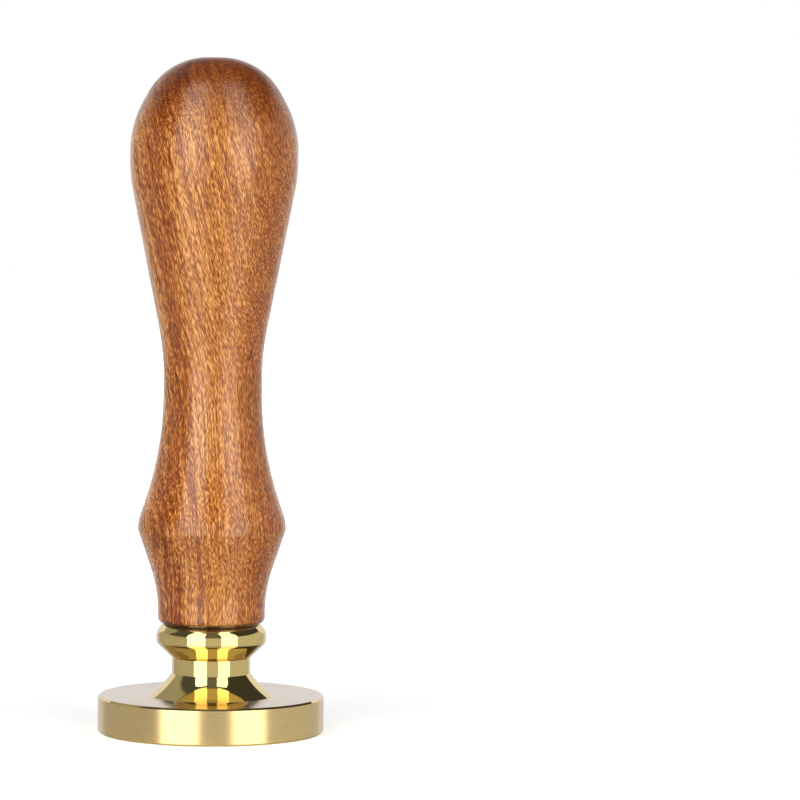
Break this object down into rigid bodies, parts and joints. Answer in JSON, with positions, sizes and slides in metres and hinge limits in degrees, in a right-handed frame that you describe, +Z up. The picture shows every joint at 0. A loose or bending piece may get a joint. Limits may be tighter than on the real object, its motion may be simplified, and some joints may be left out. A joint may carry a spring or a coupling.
{
  "type": "wax seal stamp",
  "caption": "Wax seal stamp: turned hardwood handle with a bulb, waist and knuckle, screwed by a threaded stud into a turned brass head with an engraved round die face.",
  "frame": {"origin": "centre of the engraved die face, at the base of the stamp", "axes": "+Z up along the axis of the handle; one petal of the engraved rosette lies on +X"},
  "size_m": [0.03, 0.03, 0.0894],
  "materials": {
    "brass": "mirror polished, with a satin turned rim",
    "plated_steel": "bright zinc plated thread",
    "hardwood": "satin lacquer over fine straight grain"
  },
  "bodies": {
    "head": {"brass_head": "brass"},
    "stud": {"threaded_stud": "plated_steel"},
    "handle": {"turned_handle": "hardwood"}
  },
  "joints": [
    {"name": "handle_rise", "type": "slide", "parent": "head", "child": "stud", "axis": [0, 0, 1], "range_m": [0, 0.008]},
    {"name": "handle_turn", "type": "hinge", "parent": "stud", "child": "handle", "pos_m": [0, 0, 0.0145], "axis": [0, 0, 1], "range_deg": [0, 2880]}
  ],
  "couplings": [
    {"joint": "handle_rise", "follows": "handle_turn", "m_per_rad": 0.00015915}
  ]
}
